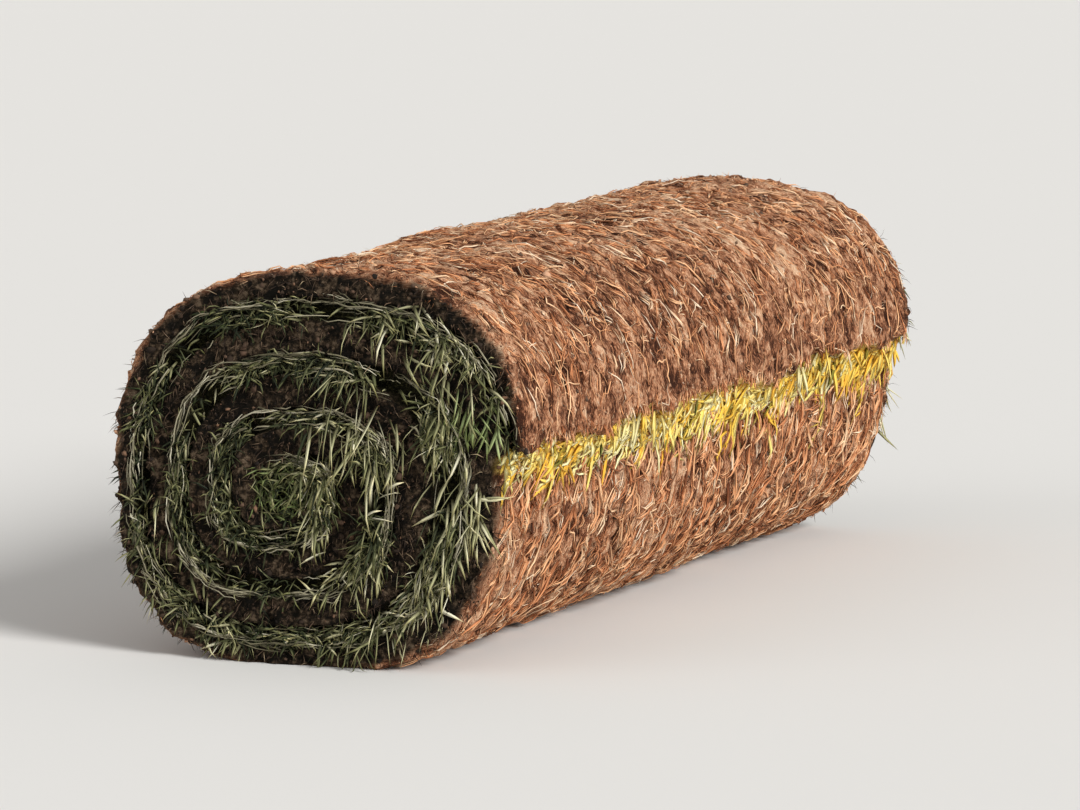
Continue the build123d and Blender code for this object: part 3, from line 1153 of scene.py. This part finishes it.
def makeThatch(name, side, seed):
    look = thatch
    rng = np.random.default_rng(seed)
    count, rings = look["count"], len(look["taper"])
    chance = (grassLine > 0.001) * np.gradient(runLine)
    start = rng.choice(len(turnLine), count, p=chance / chance.sum())
    lengths = rng.uniform(*look["length"], count)
    depth = rng.normal(0.0002, 0.001, count)
    depth += (rng.random(count) < look["inGrassShare"]) * rng.random(count) * grassLine[start]
    drift = rng.normal(0, 0.0016, count)
    lift = rng.uniform(*look["lift"], count)
    spines = []
    for ring in range(rings + 1):
        run = runLine[start] + lengths * ring / rings
        number = np.clip(np.searchsorted(runLine, run), 0, len(runLine) - 1)
        deep = soilLine[number] + depth + drift * (ring / rings) + rng.normal(0, 0.0005, count)
        out = roll["endFlat"] + slipOf(turnLine[number], side) * 0.6 + lift + rng.normal(0, 0.0006, count)
        spines.append(inSpace(faceLine[number] + inwardLine[number] * deep[:, None], side * out))
    tints = rng.normal(*look["tint"], count)
    widths = rng.uniform(*look["width"], count)
    growSlivers(name, look, np.stack(spines, 1), widths, tints, rng, thatchFinish)


makeThatch("thatchFront", -1, 25)
makeThatch("thatchBack", 1, 26)


# The fringe of grass that hangs out from under the lap

lapGrassPaintedSun = {
    "seed": 31,
    "count": 1600,  # strewn over the turn below
    "strands": 1,
    "length": (0.012, 0.035),
    "width": (0.0013, 0.0028),
    "taper": (0.7, 1, 0.95, 0.65),
    "keel": 0.15,
    "flatTo": (2.9, -2.6, 1.5),
    "spread": 0.0,
    "gather": 0.0,
    "winding": 0.26,
    "height": (0.0004, 0.0030),
    "drop": (-0.004, 0.0125),  # how far below the lap they start
    "way": (-2.0, 0.6),  # along the lap to the front and slightly down, in radians
    "anyWay": 0.2,
    "farShare": 0.03,  # single blades further down the turn below
    "farDrop": 0.03,
    "hangCount": 600,
    "hangLength": (0.007, 0.019),
    "clumps": 85,
    "clumpLean": 0.6,
    "clumpReach": (0.6, 1.3),
    "nearFront": (-0.13, 0.14),  # from this Y on, over this length, the band narrows
    "narrower": 0.45,
    "tint": (0.30, 0.2),
    "clumpTint": 0.14,
    "darkShare": 0.08,  # dark olive blades among the rest, for the shade deep in the tangle: painted shade over green blades
    "darkTints": (0.86, 1),
    # pushed to the brightness of grass in low sun: painted sunlight over straw-yellow grass
    "tints": [
        (0.0, "fff6c0"),
        (0.2, "ffea8c"),
        (0.45, "ffd65a"),
        (0.7, "fbbe42"),
        (0.88, "b89a34"),
        (1.0, "5c682c"),
    ],
}


def makeLapGrass():
    look = lapGrassPaintedSun
    rng = np.random.default_rng(look["seed"])
    strewn, hanging = look["count"], look["hangCount"]
    count, clumps = strewn + hanging, look["clumps"]
    y = rng.uniform(-0.306, 0.306, count)
    frontFrom, frontOver = look["nearFront"]
    nearFront = eased((frontFrom - y) / frontOver)
    clumpMiddles = np.sort(rng.uniform(-0.307, 0.307, clumps))
    clump = np.clip(np.searchsorted(clumpMiddles, y + rng.normal(0, 0.002, count)), 0, clumps - 1)
    clumpLean = rng.normal(0, look["clumpLean"], clumps)[clump]
    clumpTint = rng.normal(0, look["clumpTint"], clumps)[clump]
    clumpReach = rng.uniform(*look["clumpReach"], clumps)[clump]
    narrowed = 1 - look["narrower"] * nearFront
    edge = raggedLap(y)

    # strewn over the turn below, close to its skin
    drop = rng.uniform(*look["drop"], strewn) * clumpReach[:strewn] * narrowed[:strewn]
    drop += (rng.random(strewn) < look["farShare"]) * rng.uniform(0, look["farDrop"], strewn)
    way = rng.normal(*look["way"], strewn) + 0.5 * nearFront[:strewn] + 0.7 * clumpLean[:strewn]
    way = np.where(rng.random(strewn) < look["anyWay"], rng.uniform(0, 2 * pi, strewn), way)
    lines = linesOverSkin(look, wholeRun - drop + edge[:strewn], y[:strewn], way, rng)

    # hanging out of the gap under the cut edge
    share = rng.uniform(-0.1, 0.55, hanging)
    up = slopeLine[0] * (edge[strewn:] + rng.uniform(-0.007, 0.002, hanging))[:, None]
    roots = inSpace(lapInner + (lapCorner - lapInner) * share[:, None] + up, y[strewn:])
    lean = 1.4 * clumpLean[strewn:] + rng.normal(-0.8, 0.6, hanging) - 1.6 * nearFront[strewn:]
    lift = rng.uniform(-0.2, 0.3, hanging)
    aims = unit(inSpace(unit(lapCorner - lapInner) * lift[:, None] - slopeLine[0], lean))
    bends = rng.normal(size=(hanging, 3)) * [0.15, 0.5, 0.4] - [0.3, 0, 0.2]
    lengths = rng.uniform(*look["hangLength"], hanging) * clumpReach[strewn:] * narrowed[strewn:]
    spines = np.concatenate([lines, bentSpines(look, roots, aims, bends, lengths)])

    widths = rng.uniform(*look["width"], count)
    tints = rng.normal(*look["tint"], count) + clumpTint + lineNoise(y, 0.05, 8) * 0.2
    isDark = rng.random(count) < look["darkShare"]
    tints = np.where(isDark, rng.uniform(*look["darkTints"], count), tints)
    finish = sliverFinish("lapGrassPaintedSun", look["tints"], "fff6d8", "ffffff", 0.55)
    growSlivers("grassLap", look, spines, widths, tints, rng, finish, look["flatTo"])


makeLapGrass()


# The studio: a pale floor, a soft key light from the lap's side, and even light from all round

studio = {
    "cameraFrom": (1.314, -3.097, 0.400),  # from the roll's middle
    "lens": 195,
    "keyStrength": 3.5,
    "keySoftness": 22,
    "keyFrom": (0.80, -0.36, 0.48),
    "fillStrength": 0.35,
    "fillFrom": (-0.55, -0.75, 0.45),
    "skyStrength": 0.42,
    "floorSize": 60,
    "floor": "e4e2de",
    "backdrop": "f1efec",
}


def sunLamp(name, strength, softness, towards):
    bpy.ops.object.light_add(type="SUN", location=Vector(towards) * 3)
    lamp = bpy.context.object
    lamp.name = name
    lamp.data.energy, lamp.data.angle = strength, radians(softness)
    lamp.rotation_euler = Vector(towards).to_track_quat("Z", "Y").to_euler()


def makeStudio():
    look = studio
    bpy.ops.object.select_all(action="DESELECT")
    bpy.ops.mesh.primitive_plane_add(size=look["floorSize"])
    floor = bpy.context.object
    floor.name = "floor"
    material, tree, sockets = newFinish("paleFloor", 0.9, 0.1)
    plug(tree, sockets["Base Color"], paint(look["floor"]))
    floor.data.materials.append(material)
    sunLamp("key", look["keyStrength"], look["keySoftness"], look["keyFrom"])
    sunLamp("fill", look["fillStrength"], look["keySoftness"] * 2, look["fillFrom"])
    world = bpy.data.worlds.new("studio")
    bpy.context.scene.world = world
    world.use_nodes = True
    tree = world.node_tree
    tree.nodes.clear()
    rays = addNode(tree, "LightPath", {}).outputs
    light = addNode(tree, "Background", {"Color": (1, 1, 1, 1), "Strength": look["skyStrength"]})
    seen = addNode(tree, "Background", {"Color": paint(look["backdrop"])})
    either = maths(tree, "MAXIMUM", rays["Is Camera Ray"], rays["Is Glossy Ray"])
    either = maths(tree, "MAXIMUM", either, rays["Is Transmission Ray"])
    mix = addNode(tree, "MixShader", {0: either, 1: light.outputs[0], 2: seen.outputs[0]})
    addNode(tree, "OutputWorld", {"Surface": mix.outputs[0]})
    middle = Vector((0, 0, rollHeight / 2))
    bpy.ops.object.camera_add(location=middle + Vector(look["cameraFrom"]))
    camera = bpy.context.object
    camera.name = "camera"
    camera.data.lens = look["lens"]
    camera.data.clip_end = 100
    camera.rotation_euler = (middle - camera.location).to_track_quat("-Z", "Y").to_euler()
    bpy.context.scene.camera = camera
    bpy.context.scene.view_settings.view_transform = "Standard"
    print("studio set up")


makeStudio()
